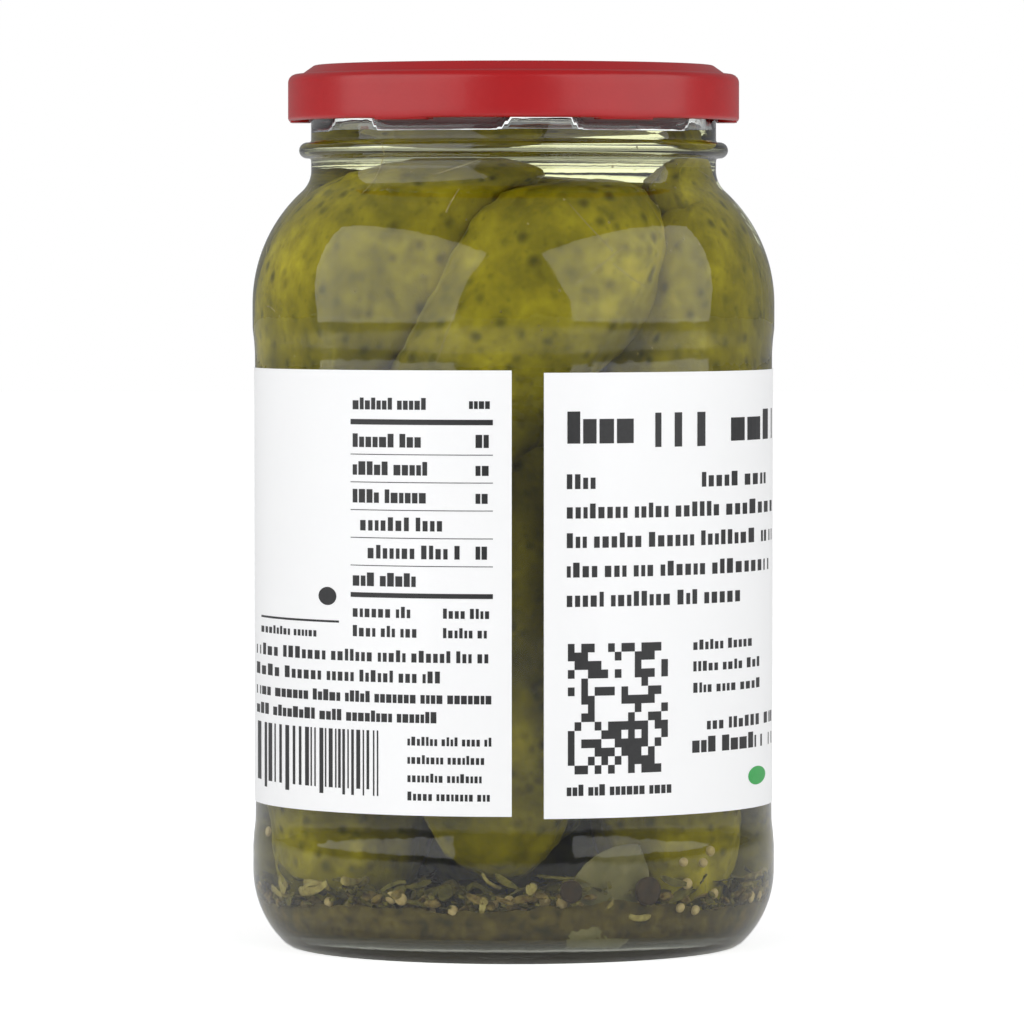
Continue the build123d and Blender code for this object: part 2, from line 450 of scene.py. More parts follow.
# inner radius of the glass at height z, mm
def wallRadiusAt(z):
    for (r0, z0), (r1, z1) in zip(innerWall, innerWall[1:]):
        if min(z0, z1) <= z <= max(z0, z1) and abs(z1 - z0) > 1e-6:
            return r0 + (r1 - r0) * (z - z0) / (z1 - z0)
    return innerR - glass["innerHeel"] if z < 12 else boreR


def floorHeightAt(r):
    share = min(r / (innerR - glass["innerHeel"]), 1)
    return glass["floorEdge"] + glass["floorRise"] * (1 - share * share)


def makePickle(name, middle, length, radius, leanX, leanY, bend, seed):
    rng = random.Random(seed)
    bm = bmesh.new()
    bmesh.ops.create_uvsphere(bm, u_segments=112, v_segments=150, radius=1)
    wartLayer = bm.verts.layers.float_color.new("wart")
    offset = Vector((rng.uniform(-50, 50), rng.uniform(-50, 50), rng.uniform(-50, 50)))
    phase = rng.uniform(0, math.tau)
    turn = Matrix.Rotation(math.radians(leanX), 3, "Y") @ Matrix.Rotation(math.radians(leanY), 3, "X")
    for vert in bm.verts:
        way = vert.co.copy()
        along = math.copysign(abs(way.z) ** 0.92, way.z)
        around = math.atan2(way.y, way.x)
        full = max(1 - abs(way.z) ** 3.2, 0) ** 0.5
        taper = 1 - 0.10 * way.z * taperWay(seed) - 0.06 * abs(way.z)
        place = Vector((math.cos(around) * radius * full, math.sin(around) * radius * full,
                        along * length / 2))
        lump = pickleSkin["lump"] * noise.noise(place / 16 + offset)
        ridge = pickleSkin["ridgeDepth"] * math.cos(pickleSkin["ridges"] * around + phase) * full
        cell = noise.voronoi((place / pickleSkin["wartSpacing"]) + offset)[0]
        wart = max(0, 1 - cell[0] / pickleSkin["wartReach"])
        wart = wart * wart * (3 - 2 * wart)
        fine = (pickleSkin["fine"] * noise.noise(place / 1.6 + offset)
                + pickleSkin["dent"] * noise.noise(place / 5 + offset))
        reach = radius * full * taper + (lump + ridge) * min(full * 1.5, 1)
        side = Vector((math.cos(around), math.sin(around), 0))
        out = Vector((side.x * max(full, 0.05), side.y * max(full, 0.05), way.z * 0.6)).normalized()
        point = Vector((side.x * reach, side.y * reach, along * length / 2))
        point += out * (pickleSkin["wartHeight"] * wart + fine)
        point.x += bend * (1 - (2 * point.z / length) ** 2) - bend / 2
        point = turn @ point + Vector(middle)
        limit = wallRadiusAt(point.z) - pickleSkin["glassGap"]
        flat = point.xy.length
        if flat > limit:  # pressed against the glass
            squeeze = limit - 0.25 * (1 - math.exp(-(flat - limit) / 2))
            point.x, point.y = point.x * squeeze / flat, point.y * squeeze / flat
        point.z = min(max(point.z, glass["floorEdge"] + 2.4), brineLevel / mm - 0.8)
        vert.co = point * mm
        vert[wartLayer] = (wart, wart, wart, 1)
    bmesh.ops.recalc_face_normals(bm, faces=bm.faces[:])
    finishPiece(name, bm, pickleMaterial)


def taperWay(seed):
    return 1 if seed % 2 else -1


for name, values in pickles.items():
    makePickle(name, *values)
print("pickles made")


# spices and herbs at the bottom

spices = {
    "mustard": 70, "dillSeed": 300, "stem": 64, "flake": 460, "bit": 1100, "allspice": 6, "speck": 160,
    "thread": 26, "nearWall": 0.4,
    # mustard seeds that cling to the glass in front of a pickle: x and height, mm
    "clinging": ((30.6, 18.4), (34.1, 18.0), (35.4, 20.0), (31.2, 14.4), (36.1, 12.3), (30.1, 10.3),
                 (32.8, 9.7), (-43.8, 22.3)),
}


def makeSpiceMaterial(name, dark, light, rough=0.5, blotch=400):
    material, nodes, links, shader = newMaterial(name)
    spots = addSpots(nodes, links, blotch, 900, 0.3)
    colour = mixColour(nodes, links, spots.outputs["Blotch"], dark, light)
    links.new(colour, shader.inputs["Base Color"])
    shader.inputs["Roughness"].default_value = rough
    shader.inputs["IOR"].default_value = 1.2
    addBump(nodes, links, shader, spots.outputs["Blotch"], 0.3, 0.0003)
    return material


# top of the spice bed, mm; share is 0 at the axis and 1 at the wall
def bedHeight(angle, share):
    wave = noise.noise(Vector((math.cos(angle) * 1.7, math.sin(angle) * 1.7, 3.1)))
    return glass["floorEdge"] + 3.4 + 3.6 * share**2 + 2.6 * wave * share


bed = {
    "rings": 14, "steps": 150, "underInset": 2.2, "underZ": 4.4,
    "edgeRise": 5.25, "topInset": 1.6, "topZ": 8,
}


def makeSpiceBed():
    bm = bmesh.new()
    shares = [i / bed["rings"] for i in range(1, bed["rings"] + 1)]
    under = [((innerR - bed["underInset"]) * s,
              bed["underZ"] + bed["edgeRise"] * max(s - 0.8, 0)) for s in shares]
    over = [((innerR - bed["topInset"]) * s, bed["topZ"]) for s in reversed(shares)]
    spinProfile(bm, [(0, glass["floorEdge"] + 2.4)] + under + over + [(0, bed["topZ"])], bed["steps"])
    for vert in bm.verts:
        r, z = vert.co.xy.length / mm, vert.co.z / mm
        angle = math.atan2(vert.co.y, vert.co.x)
        if z > bed["topZ"] - 0.5:
            top = bedHeight(angle, min(r / innerR, 1))
            rough = noise.noise(Vector(vert.co) * 900) * 0.7 + noise.noise(Vector(vert.co) * 350) * 0.8
            vert.co.z = (top + rough) * mm
        limit = (wallRadiusAt(vert.co.z / mm) - 0.4) * mm
        if vert.co.xy.length > limit:
            vert.co.xy *= limit / vert.co.xy.length
    brown = makeSpiceMaterial("spiceBedBrown", (0.035, 0.026, 0.004), (0.15, 0.11, 0.02))
    finishPiece("spiceBed", bm, brown)


# a random place on the spice bed, more of them by the glass
def layOut(rng, lift):
    angle = rng.uniform(0, math.tau)
    share = 1 - (1 - rng.random() ** spices["nearWall"]) * 0.9
    z = bedHeight(angle, share) + lift
    r = min(share * innerR, wallRadiusAt(z) - 1.1)
    return Vector((r * math.cos(angle), r * math.sin(angle), z))


def scatter(name, count, maker, material, seed, lift):
    rng = random.Random(seed)
    bm = bmesh.new()
    for _ in range(count):
        place = layOut(rng, rng.uniform(*lift))
        spin = Matrix.Rotation(rng.uniform(0, math.tau), 4, "Z")
        tilt = (Matrix.Rotation(rng.uniform(-0.7, 0.7), 4, "X")
                @ Matrix.Rotation(rng.uniform(-0.5, 0.5), 4, "Y"))
        maker(bm, rng, Matrix.Translation(place * mm) @ spin @ tilt)
    keepInside(bm)
    finishPiece(name, bm, material)


def keepInside(bm):
    for vert in bm.verts:
        limit = (wallRadiusAt(vert.co.z / mm) - 0.35) * mm
        if vert.co.xy.length > limit:
            vert.co.xy *= limit / vert.co.xy.length
        vert.co.z = max(vert.co.z, (floorHeightAt(vert.co.xy.length / mm) + 0.3) * mm)


def addSeed(bm, rng, matrix):
    size = rng.uniform(0.95, 1.25) * mm
    made = bmesh.ops.create_icosphere(bm, subdivisions=2, radius=size)
    bmesh.ops.transform(bm, matrix=matrix @ Matrix.Diagonal((1, 0.94, 0.9, 1)), verts=made["verts"])


def addDillSeed(bm, rng, matrix):
    made = bmesh.ops.create_uvsphere(bm, u_segments=12, v_segments=6, radius=mm)
    for vert in made["verts"]:
        ridge = 1 + 0.12 * math.cos(5 * math.atan2(vert.co.y, vert.co.z))
        vert.co = Vector((vert.co.x * rng.uniform(2.0, 2.1), vert.co.y * 1.05 * ridge,
                          vert.co.z * 0.5 * ridge))
    bmesh.ops.transform(bm, matrix=matrix, verts=made["verts"])


def addStem(bm, rng, matrix):
    length, thick, curve = rng.uniform(4, 13), rng.uniform(0.35, 0.95), rng.uniform(-1.6, 1.6)
    made = bmesh.ops.create_circle(bm, cap_ends=True, segments=8, radius=thick * mm)
    verts, ring = list(made["verts"]), list({e for v in made["verts"] for e in v.link_edges})
    steps = 7
    for _ in range(steps):
        out = bmesh.ops.extrude_edge_only(bm, edges=ring)["geom"]
        fresh = [v for v in out if isinstance(v, bmesh.types.BMVert)]
        ring = [e for e in out if isinstance(e, bmesh.types.BMEdge)
                and e.verts[0] in fresh and e.verts[1] in fresh]
        bmesh.ops.translate(bm, vec=(0, 0, length / steps * mm), verts=fresh)
        verts += fresh
    bmesh.ops.contextual_create(bm, geom=ring)
    for vert in verts:
        t = vert.co.z / (length * mm)
        knots = 0.2 * noise.noise(Vector(vert.co) * 1300 + Vector((length, 0, 0)))
        vert.co.xy *= (1 - 0.25 * t) * (1 + knots)
        vert.co.x += curve * 4 * t * (1 - t) * mm
    lie = Matrix.Rotation(math.pi / 2, 4, "Y")
    bmesh.ops.transform(bm, matrix=matrix @ lie, verts=verts)


def addFlake(bm, rng, matrix):
    made = bmesh.ops.create_grid(bm, x_segments=5, y_segments=3, size=mm)
    long, wide, curl = rng.uniform(1.0, 4.2), rng.uniform(0.5, 1.7), rng.uniform(-0.6, 0.6)
    for vert in made["verts"]:
        x, y = vert.co.x / mm, vert.co.y / mm
        narrow = 1 - 0.75 * x * x
        vert.co = Vector((x * long, y * wide * narrow,
                          curl * (x * x + y * y) + 0.15 * rng.uniform(-1, 1))) * mm
    bmesh.ops.transform(bm, matrix=matrix, verts=made["verts"])


def addBit(bm, rng, matrix):
    made = bmesh.ops.create_icosphere(bm, subdivisions=1, radius=mm)
    size = rng.uniform(0.25, 0.75)
    stretch = (size * rng.uniform(0.8, 2.4), size, size * rng.uniform(0.4, 0.9), 1)
    bmesh.ops.transform(bm, matrix=matrix @ Matrix.Diagonal(stretch), verts=made["verts"])


def addBall(bm, rng, matrix):
    made = bmesh.ops.create_icosphere(bm, subdivisions=3, radius=rng.uniform(2.0, 2.6) * mm)
    for vert in made["verts"]:
        vert.co *= 1 + 0.05 * noise.noise(Vector(vert.co) * 1500)
    bmesh.ops.transform(bm, matrix=matrix, verts=made["verts"])


def makeClingingSeeds():
    rng = random.Random(31)
    bm = bmesh.new()
    for x, z in spices["clinging"]:
        r = wallRadiusAt(z) - 1.5
        addSeed(bm, rng, Matrix.Translation(Vector((x, -math.sqrt(max(r * r - x * x, 4)), z)) * mm))
    keepInside(bm)
    finishPiece("clingingSeeds", bm, seedCream)


leaf = {"length": 24, "width": 15, "middle": (17, -40.5, 11.5), "turn": 22, "lean": 62, "curl": 1.6}


def makeBayLeaf():
    bm = bmesh.new()
    bmesh.ops.create_grid(bm, x_segments=40, y_segments=24, size=1)
    for vert in bm.verts:
        x, y = vert.co.x, vert.co.y
        narrow = (1 - abs(x) ** 2.2) ** 0.8
        rib = 0.25 * max(0, 1 - abs(y) * 9) + 0.10 * math.cos(26 * (x - 0.5 * abs(y)))
        edge = 0.35 * noise.noise(Vector((x * 4, y * 3, 1)))
        vert.co = Vector((x * leaf["length"] / 2, y * narrow * leaf["width"] / 2,
                          leaf["curl"] * (x * x - y * y) + rib + edge)) * mm
    turn = Matrix.Rotation(math.radians(leaf["turn"]), 4, "Z")
    stand = Matrix.Rotation(math.radians(90), 4, "X") @ Matrix.Rotation(math.radians(leaf["lean"]), 4, "Z")
    bmesh.ops.transform(bm, matrix=Matrix.Translation(Vector(leaf["middle"]) * mm) @ turn @ stand,
                        verts=bm.verts[:])
    bmesh.ops.remove_doubles(bm, verts=bm.verts[:], dist=0.00002)
    keepInside(bm)
    olive = makeSpiceMaterial("bayLeafOlive", (0.15, 0.135, 0.05), (0.24, 0.21, 0.09), 0.5, 260)
    piece = finishPiece("bayLeaf", bm, olive)
    thick = piece.modifiers.new("leafThickness", "SOLIDIFY")
    thick.thickness = 0.3 * mm


# things that float by the glass higher up
def scatterUp(name, count, maker, material, seed, low, high):
    rng = random.Random(seed)
    bm = bmesh.new()
    for _ in range(count):
        z, angle = rng.uniform(low, high), rng.uniform(0, math.tau)
        r = wallRadiusAt(z) - rng.uniform(0.5, 1.0)
        around = Matrix.Rotation(angle, 4, "Z") @ Matrix.Translation(Vector((r, 0, z)) * mm)
        turned = around @ Matrix.Rotation(rng.uniform(0, math.tau), 4, "X")
        maker(bm, rng, turned @ Matrix.Rotation(math.pi / 2, 4, "Z"))
    keepInside(bm)
    finishPiece(name, bm, material)


def addSpeck(bm, rng, matrix):
    made = bmesh.ops.create_icosphere(bm, subdivisions=1, radius=rng.uniform(0.12, 0.3) * mm)
    bmesh.ops.transform(bm, matrix=matrix, verts=made["verts"])


def addThread(bm, rng, matrix):
    before = set(bm.verts)
    addStem(bm, rng, Matrix.Identity(4))
    verts = [v for v in bm.verts if v not in before]
    for vert in verts:
        vert.co.y *= 0.22
        vert.co.z *= 0.22
    bmesh.ops.transform(bm, matrix=matrix, verts=verts)


makeSpiceBed()
seedCream = makeSpiceMaterial("seedCream", (0.50, 0.36, 0.15), (0.66, 0.53, 0.27), 0.35, 300)
stemPale = makeSpiceMaterial("stemPale", (0.20, 0.15, 0.035), (0.46, 0.38, 0.13), 0.5, 500)
seedBrown = makeSpiceMaterial("seedBrown", (0.07, 0.04, 0.010), (0.30, 0.22, 0.06), 0.45, 700)
leafOlive = makeSpiceMaterial("leafOlive", (0.06, 0.05, 0.008), (0.20, 0.17, 0.035), 0.5, 500)
ballDark = makeSpiceMaterial("ballDark", (0.02, 0.012, 0.006), (0.06, 0.035, 0.015), 0.5, 500)
scatter("mustardSeeds", spices["mustard"], addSeed, seedCream, 21, (0.2, 2.2))
scatter("dillSeeds", spices["dillSeed"], addDillSeed, seedBrown, 22, (0.2, 2.4))
scatter("herbStems", spices["stem"], addStem, stemPale, 23, (0.6, 4.5))
scatter("herbFlakes", spices["flake"], addFlake, leafOlive, 24, (0.2, 5.0))
scatter("spiceBits", spices["bit"], addBit, leafOlive, 25, (0.0, 3.0))
scatter("allspiceBerries", spices["allspice"], addBall, ballDark, 26, (1.0, 2.5))
scatterUp("dillThreads", spices["thread"], addThread, stemPale, 27, 118, 150)
scatterUp("fineSpecks", spices["speck"], addSpeck, stemPale, 28, 112, 152)
makeClingingSeeds()
makeBayLeaf()
print("spices made")


# cap

cap = {
    "sheet": 0.3, "shoulder": 1.7, "shoulderFillet": 1.6, "ringOuter": 38.0, "stepRun": 2.4,
    "recessRadius": 32.8, "recess": 1.3, "button": 11.0, "buttonRise": 0.6, "press": 1.2,
    "curl": 0.75, "lugs": 6, "lugArc": 15, "lugThickness": 1.7, "lugTip": 39.2, "lugDrop": 0.3, "dip": 0.25,
    "red": (0.41, 0.0025, 0.005), "steps": 240,
}


def makeEnamelMaterial():
    material, nodes, links, shader = newMaterial("redEnamel")
    spots = addSpots(nodes, links, 140, 60, 0.5)
    fine = addSpots(nodes, links, 1500, 1500, 0.2)
    dark = tuple(0.93 * c for c in cap["red"])
    links.new(mixColour(nodes, links, spots.outputs["Blotch"], dark, cap["red"]),
              shader.inputs["Base Color"])
    shader.inputs["Roughness"].default_value = 0.33
    shader.inputs["Coat Weight"].default_value = 0.12
    shader.inputs["Coat Roughness"].default_value = 0.12
    addBump(nodes, links, shader, fine.outputs["Blotch"], 0.06, 0.0002)
    return material


def makeCap():
    topZ, lowZ, r = capHigh.z / mm, capLow.z / mm + cap["lugDrop"], capHigh.x / mm
    sheet, recessZ = cap["sheet"], topZ - cap["recess"]

    def crown(drop, inset):
        corners = [
            (0, recessZ + cap["buttonRise"], 0), (cap["button"], recessZ + cap["buttonRise"], 0.5),
            (cap["button"] + cap["press"], recessZ, 0.5), (cap["recessRadius"], recessZ, 0.5),
            (cap["recessRadius"] + cap["press"], topZ, 0.5), (cap["ringOuter"], topZ, 1.0),
            (cap["ringOuter"] + cap["stepRun"], topZ - cap["shoulder"], 1.0),
            (r - inset, topZ - cap["shoulder"], cap["shoulderFillet"]), (r - inset, lowZ + cap["curl"], 0),
        ]
        return [(x, z - drop) for x, z in roundedPath(corners)]

    outside = crown(0, 0)
    skirtZ = outside[-2][1]
    outside = outside[:-1] + [(r, skirtZ + (lowZ + cap["curl"] - skirtZ) * k / 6) for k in range(1, 7)]
    inside = [(x, z) for x, z in crown(sheet, sheet) if z > lowZ + 2 * cap["curl"]]
    curl = arcPoints(r - cap["curl"], lowZ + cap["curl"], cap["curl"], 0, -300, 16)[1:]
    bm = bmesh.new()
    spinProfile(bm, outside + curl + list(reversed(inside)), cap["steps"])
    for vert in bm.verts:  # the edge dips a little where each lug is pressed in
        turn = (math.degrees(math.atan2(vert.co.y, vert.co.x)) + 30) % 60 - 30
        near = max(0, 1 - abs(turn) / (cap["lugArc"] * 0.8))
        low = max(0, 1 - (vert.co.z / mm - lowZ) / 3)
        vert.co.z -= cap["dip"] * mm * near * near * (3 - 2 * near) * low
    lowLug = capLow.z / mm
    for i in range(cap["lugs"]):
        start = math.radians(360 / cap["lugs"] * i - cap["lugArc"] / 2)
        corners = ((cap["lugTip"], lowLug), (r - 0.4, lowLug), (r - 0.4, lowLug + cap["lugThickness"]),
                   (cap["lugTip"], lowLug + cap["lugThickness"]))
        verts = [bm.verts.new((x * math.cos(start) * mm, x * math.sin(start) * mm, z * mm))
                 for x, z in corners]
        face = bm.faces.new(verts)
        bmesh.ops.spin(bm, geom=[face, *face.edges, *face.verts], axis=(0, 0, 1), cent=(0, 0, 0),
                       angle=math.radians(cap["lugArc"]), steps=8)
    bmesh.ops.recalc_face_normals(bm, faces=bm.faces[:])
    piece = finishPiece("lugCap", bm, makeEnamelMaterial())
    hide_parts("cap")


makeCap()
print("cap made")


# label and its print

label = {
    "gap": 6.9, "gapMiddle": -86.95, "thickness": 0.15, "proud": 0.02, "skew": 0.45, "inkLift": 0.03,
    "paper": (0.96, 0.96, 0.96),
}
labelZ, labelTop = labelLow.z / mm, labelHigh.z / mm
labelR = panelR + label["proud"]


# x mm across the front as seen face on, or round the label if wrapped; z mm up from the table
def labelPoint(x, z, lift=0.0, wrapped=False):
    angle = x / labelR if wrapped else math.asin(min(max(x / labelR, -0.99), 0.99))
    start = math.radians(label["gapMiddle"] + label["gap"] / 2 + 90)
    share = ((angle - start) % math.tau) / math.tau
    rise = label["skew"] * (share - 0.5)
    r = labelR + label["thickness"] + lift
    return Vector((r * math.sin(angle), -r * math.cos(angle), z + rise)) * mm


def makePaperMaterial():
    material, nodes, links, shader = newMaterial("labelPaper")
    spots = addSpots(nodes, links, 30, 60, 0.5)
    fibre = addSpots(nodes, links, 1800, 2500, 0.2)
    pale = tuple(c * 0.985 for c in label["paper"])
    links.new(mixColour(nodes, links, spots.outputs["Blotch"], pale, label["paper"]),
              shader.inputs["Base Color"])
    shader.inputs["Roughness"].default_value = 0.45
    addBump(nodes, links, shader, fibre.outputs["Blotch"], 0.08, 0.0001)
    return material


def makeLabel():
    bm = bmesh.new()
    start = math.radians(label["gapMiddle"] + label["gap"] / 2)
    rows = 12
    verts = [bm.verts.new((r * math.cos(start) * mm, r * math.sin(start) * mm,
                           (labelZ + (labelTop - labelZ) * k / rows) * mm))
             for r, order in ((labelR, range(rows + 1)), (labelR + label["thickness"], range(rows, -1, -1)))
             for k in order]
    face = bm.faces.new(verts)
    bmesh.ops.spin(bm, geom=[face, *face.edges, *face.verts], axis=(0, 0, 1), cent=(0, 0, 0),
                   angle=math.radians(360 - label["gap"]), steps=300)
    for vert in bm.verts:
        share = ((math.atan2(vert.co.y, vert.co.x) - start + 0.001) % math.tau) / math.tau
        vert.co.z += label["skew"] * (share - 0.5) * mm
    bmesh.ops.recalc_face_normals(bm, faces=bm.faces[:])
    piece = finishPiece("paperLabel", bm, makePaperMaterial())
    sharp = piece.modifiers.new("crispEdges", "EDGE_SPLIT")
    sharp.split_angle = math.radians(40)
    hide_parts("label")


def makeInkMaterial(name, colour):
    material, nodes, links, shader = newMaterial(name)
    spots = addSpots(nodes, links, 900, 900, 0.3)
    pale = tuple(min(c * 1.15 + 0.004, 1) for c in colour)
    links.new(mixColour(nodes, links, spots.outputs["Blotch"], colour, pale), shader.inputs["Base Color"])
    shader.inputs["Roughness"].default_value = 0.4
    return material


# one printed rectangle, z above the label's lower edge
def addField(bm, x0, x1, z0, z1, lift=None, wrapped=False):
    columns = max(1, int(abs(x1 - x0) / 0.8))
    made = bmesh.ops.create_grid(bm, x_segments=columns, y_segments=1, size=0.5)
    for vert in made["verts"]:
        x = x0 + (x1 - x0) * (vert.co.x + 0.5)
        z = z0 + (z1 - z0) * (vert.co.y + 0.5)
        vert.co = labelPoint(x, labelZ + z, lift or label["inkLift"], wrapped)


def addDisc(bm, x, z, radius, squash=1.0, lift=None, wrapped=False):
    old = set(bm.verts)
    rim = bmesh.ops.create_circle(bm, cap_ends=True, cap_tris=True, segments=28, radius=radius)
    spokes = list({edge for vert in rim["verts"] for edge in vert.link_edges})
    bmesh.ops.subdivide_edges(bm, edges=spokes, cuts=3, use_grid_fill=True)
    for vert in [v for v in bm.verts if v not in old]:
        vert.co = labelPoint(x + vert.co.x, labelZ + z + vert.co.y * squash, lift or label["inkLift"],
                             wrapped)


# a row of small upright blocks in word-like groups, with no lettering
def addWords(bm, rng, x0, x1, z, size, bold=0.0, wrapped=False):
    x = x0
    while x < x1 - size:
        for _ in range(rng.randint(3, 8)):
            wide = size * rng.uniform(0.36, 0.60)
            if x + wide > x1:
                break
            tall = size * rng.choice((0.84, 0.84, 0.84, 1.1))
            addField(bm, x, x + wide * (0.80 + bold), z, z + tall, wrapped=wrapped)
            x += wide + size * 0.10
        x += size * 0.36


def makePrint():
    rng = random.Random(77)
    black, green, red, cream = bmesh.new(), bmesh.new(), bmesh.new(), bmesh.new()
    # facts panel: thin frame, heading, rows and rules
    left, right, foot, head = -48.6, -3.4, 31.2, 78.5
    for z in (foot, head):
        addField(black, left, right, z, z + 0.3)
    for x in (left, right - 0.3):
        addField(black, x, x + 0.3, foot, head)
    for z, size in ((72.6, 3.9), (67.6, 3.9)):
        addWords(black, rng, left + 1, -32.6, z, size, 0.14)
    for z, size, bold in ((62.4, 2.2, 0), (57.6, 2.2, 0), (52.0, 2.3, 0.16), (47.6, 1.9, 0.16)):
        addWords(black, rng, left + 1, -32.4, z, size, bold)
    for z in (66.0, 54.8, 45.6):
        addField(black, left + 1, -32.4, z, z + 0.22)
    addWords(black, rng, left + 1, -38.5, 40.6, 2.4, 0.16)
    addWords(black, rng, left + 1, -38.5, 37.6, 1.7, 0.16)
    addDisc(black, -34.6, 40.3, 1.7)
    addField(black, left + 1, -32.4, 35.4, 35.8)
    addWords(black, rng, left + 1, -35.0, 32.6, 1.4)
    addWords(black, rng, -29.8, -16.0, 75.2, 2.0, 0.16)
    addWords(black, rng, -8.2, -3.9, 75.4, 1.7, 0.16)
    addField(black, -30.2, -3.8, 72.4, 73.4)
    for i, wide in enumerate((13.5, 16.5, 16.5, 16.0, 18.5, 12.5)):
        z = 68.2 - 5.16 * i
        inset = (0, 0, 0, 1.4, 2.8, 0)[i]
        addWords(black, rng, -29.8 + inset, -29.8 + inset + wide, z, 2.3, 0.16 if inset == 0 else 0)
        if i in (0, 1, 2, 4):
            addWords(black, rng, -7.0, -3.9, z, 2.2, 0.16)
        if i < 5:
            addField(black, -30.2, -3.8, z - 1.4, z - 1.25)
    addField(black, -30.2, -3.8, 40.3, 41.2)
    for z in (36.6, 33.0):
        addWords(black, rng, -29.8, -16.6, z, 1.9)
        addWords(black, rng, -13.0, -4.0, z, 1.7)
    for z, size, bold, end in ((28.4, 2.0, 0, -3.4), (24.6, 2.0, 0, -12.5), (20.8, 1.9, 0.16, -3.6),
                               (17.2, 1.9, 0.16, -12)):
        addWords(black, rng, left, end, z, size, bold)
    x = left + 0.2
    while x < -24.8:  # upright stripes of uneven width
        wide = rng.choice((0.28, 0.28, 0.5, 0.75))
        addField(black, x, x + wide, 4.6 if rng.random() < 0.86 else 3.4, 15.6)
        x += wide + rng.choice((0.3, 0.45, 0.7))
    for z in (13.0, 9.6, 6.2, 2.8):
        addWords(black, rng, -19.6, -3.8, z, 1.5)
    # story panel: headline, lines, square of cells, cream cloud and two discs
    addWords(black, rng, 9.9, 24.2, 69.4, 5.4, 0.2)
    addWords(black, rng, 26.2, 38.6, 68.6, 7.6, -0.4)
    addWords(black, rng, 40.6, 54.5, 69.4, 5.2, 0.2)
    for i in range(5):
        z, begin = 61.0 - 5.45 * i, 9.8
        if i == 0:
            addWords(black, rng, 9.8, 15.6, z, 2.5)
            addWords(green, rng, 16.6, 34.0, z, 2.6, 0.14)
            begin = 35.0
        addWords(black, rng, begin, (56, 57, 57, 57, 45)[i], z, 2.5)
    cells = 15
    cell = 18.6 / cells
    for i in range(cells):
        for j in range(cells):
            if rng.random() < 0.46:
                addField(black, 10.0 + i * cell, 10.0 + (i + 1) * cell, 8.2 + j * cell * 1.3,
                         8.2 + (j + 1) * cell * 1.3)
    addWords(black, rng, 9.8, 29.4, 4.2, 1.9, 0.16)
    addField(cream, 31.6, 48.6, 19.6, 33.6)
    addDisc(cream, 33.4, 26.6, 7.0, 1.0, 0.028)
    addDisc(cream, 47.4, 27.2, 6.8, 1.0, 0.026)
    for z in (30.6, 26.6, 22.6):
        addWords(black, rng, 33.4, 46.6, z, 1.7)
    addWords(black, rng, 36.0, 50.5, 15.6, 1.9)
    addWords(black, rng, 33.2, 51.5, 11.4, 2.7, 0.18)
    addDisc(green, 41.8, 6.0, 1.75)
    addDisc(green, 45.8, 6.0, 1.75)
    # far side: broad plain fields
    half = math.pi * labelR
    for start, end, z0, z1, target in ((88, 224, 0.6, 12, red), (88, 224, 70, 81.8, red),
                                       (100, 212, 14, 17, green)):
        addField(target, start, end, z0, z1, wrapped=True)
    for z, size in ((54, 9.5), (42, 7.0)):
        addWords(green, rng, half - 38, half + 38, z, size, 0.2, wrapped=True)
    addWords(black, rng, half - 26, half + 26, 33, 3.2, 0.1, wrapped=True)
    addDisc(cream, half, 24, 5.5, wrapped=True)
    for name, bm, colour in (("printBlack", black, (0.012, 0.012, 0.013)),
                             ("printGreen", green, (0.03, 0.34, 0.07)),
                             ("printRed", red, (0.50, 0.02, 0.02)),
                             ("printCream", cream, (0.86, 0.82, 0.60))):
        bmesh.ops.recalc_face_normals(bm, faces=bm.faces[:])
        for face in bm.faces:
            middle = face.calc_center_median()
            if face.normal.xy.dot(middle.xy) < 0:
                face.normal_flip()
        finishPiece(name, bm, makeInkMaterial(name + "Ink", colour), smooth=False)


makeLabel()
makePrint()
print("label made")


# floor, light and camera

studio = {
    "camera": (0.0, -1.45, 0.131), "aim": (-0.0003, 0, 0.0827), "lens": 266.9,
    "lampReach": 0.95, "lampSide": 60, "lampRise": 24, "lampSize": (1.45, 0.9), "lampPower": 6.0,
    "coreShares": (0.14, 0.22, 0.31, 0.42, 0.55), "corePower": 1.0,
}


def makeWorld():
    world = bpy.data.worlds.new("paleStudio")
    scene.world = world
    world.use_nodes = True
    nodes, links = world.node_tree.nodes, world.node_tree.links
    nodes.clear()
    out = nodes.new("ShaderNodeOutputWorld")
    soft, white, mix = (nodes.new(kind) for kind in
                        ("ShaderNodeBackground", "ShaderNodeBackground", "ShaderNodeMixShader"))
    soft.inputs["Color"].default_value = (0.95, 0.97, 1, 1)
    soft.inputs["Strength"].default_value = 0.26
    white.inputs["Color"].default_value = (1, 1, 1, 1)
    white.inputs["Strength"].default_value = 1.0
    links.new(whiteRays(nodes, links), mix.inputs["Fac"])
    links.new(soft.outputs[0], mix.inputs[1])
    links.new(white.outputs[0], mix.inputs[2])
    links.new(mix.outputs[0], out.inputs["Surface"])


# 1 for a ray from the camera, straight or through glass, with no reflection on its way
def whiteRays(nodes, links):
    path = nodes.new("ShaderNodeLightPath")
    bounced = joinMath(nodes, links, "ADD", path.outputs["Glossy Depth"], path.outputs["Diffuse Depth"])
    straight = joinMath(nodes, links, "LESS_THAN", bounced, 0.5)
    through = joinMath(nodes, links, "MULTIPLY", path.outputs["Is Transmission Ray"], straight)
    return joinMath(nodes, links, "MAXIMUM", path.outputs["Is Camera Ray"], through)


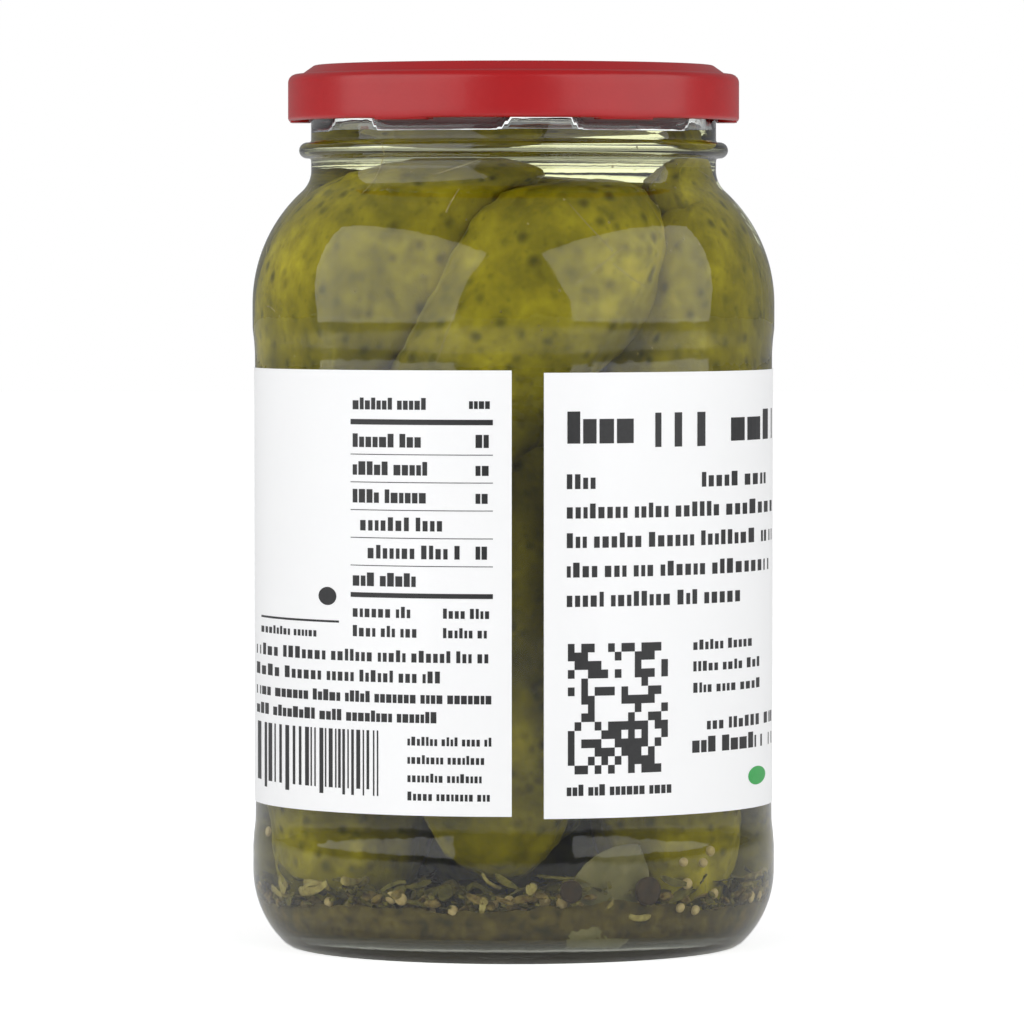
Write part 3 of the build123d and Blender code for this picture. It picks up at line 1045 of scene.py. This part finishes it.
def makeFloor():
    bm = bmesh.new()
    bmesh.ops.create_grid(bm, x_segments=1, y_segments=1, size=6)
    mesh = bpy.data.meshes.new("studioFloor")
    bm.to_mesh(mesh)
    bm.free()
    floor = bpy.data.objects.new("studioFloor", mesh)
    scene.collection.objects.link(floor)
    material, nodes, links, shader = newMaterial("paleFloor")
    shader.inputs["Base Color"].default_value = (0.82, 0.82, 0.82, 1)
    shader.inputs["Roughness"].default_value = 0.9
    shader.inputs["Emission Color"].default_value = (1, 1, 1, 1)
    glow = nodes.new("ShaderNodeMapRange")  # white to the camera and through glass, pale to the lamps
    glow.inputs["To Min"].default_value = 0.12
    near = nodes.new("ShaderNodeTexCoord")
    reach = nodes.new("ShaderNodeVectorMath")
    reach.operation = "LENGTH"
    links.new(near.outputs["Object"], reach.inputs[0])
    fade = nodes.new("ShaderNodeMapRange")
    fade.inputs["From Min"].default_value = 0.06
    fade.inputs["From Max"].default_value = 0.5
    fade.inputs["To Min"].default_value = 0.60
    fade.inputs["To Max"].default_value = 1.0
    links.new(reach.outputs["Value"], fade.inputs["Value"])
    links.new(fade.outputs["Result"], glow.inputs["To Max"])
    links.new(whiteRays(nodes, links), glow.inputs["Value"])
    links.new(glow.outputs["Result"], shader.inputs["Emission Strength"])
    mesh.materials.append(material)


def makeLamp(name, side, size, power, shape):
    lamp = bpy.data.lights.new(name, "AREA")
    lamp.shape = shape
    lamp.size, lamp.size_y = size
    lamp.energy = power
    holder = bpy.data.objects.new(name, lamp)
    scene.collection.objects.link(holder)
    turn, rise = math.radians(studio["lampSide"]) * side, math.radians(studio["lampRise"])
    away = Vector((math.sin(turn) * math.cos(rise), -math.cos(turn) * math.cos(rise), math.sin(rise)))
    holder.location = Vector((0, 0, 0.09)) + away * studio["lampReach"]
    holder.rotation_euler = (-away).to_track_quat("-Z", "Y").to_euler()


def makeLamps():
    for name, side in (("leftSoftbox", -1), ("rightSoftbox", 1)):
        makeLamp(name, side, studio["lampSize"], studio["lampPower"], "RECTANGLE")
        for i, share in enumerate(studio["coreShares"]):  # the lamp head makes the middle brighter
            size = (studio["lampSize"][0] * share, studio["lampSize"][1] * share)
            makeLamp(f"{name}Core{i}", side, size, studio["corePower"] * share, "ELLIPSE")


def makeCamera():
    camera = bpy.data.cameras.new("frontCamera")
    camera.lens = studio["lens"]
    camera.sensor_width = 36
    camera.clip_start, camera.clip_end = 0.05, 50
    holder = bpy.data.objects.new("frontCamera", camera)
    scene.collection.objects.link(holder)
    holder.location = studio["camera"]
    way = Vector(studio["aim"]) - Vector(studio["camera"])
    holder.rotation_euler = way.to_track_quat("-Z", "Y").to_euler()
    scene.camera = holder


makeWorld()
makeFloor()
makeLamps()
makeCamera()
scene.view_settings.view_transform = "Standard"
print("studio made")
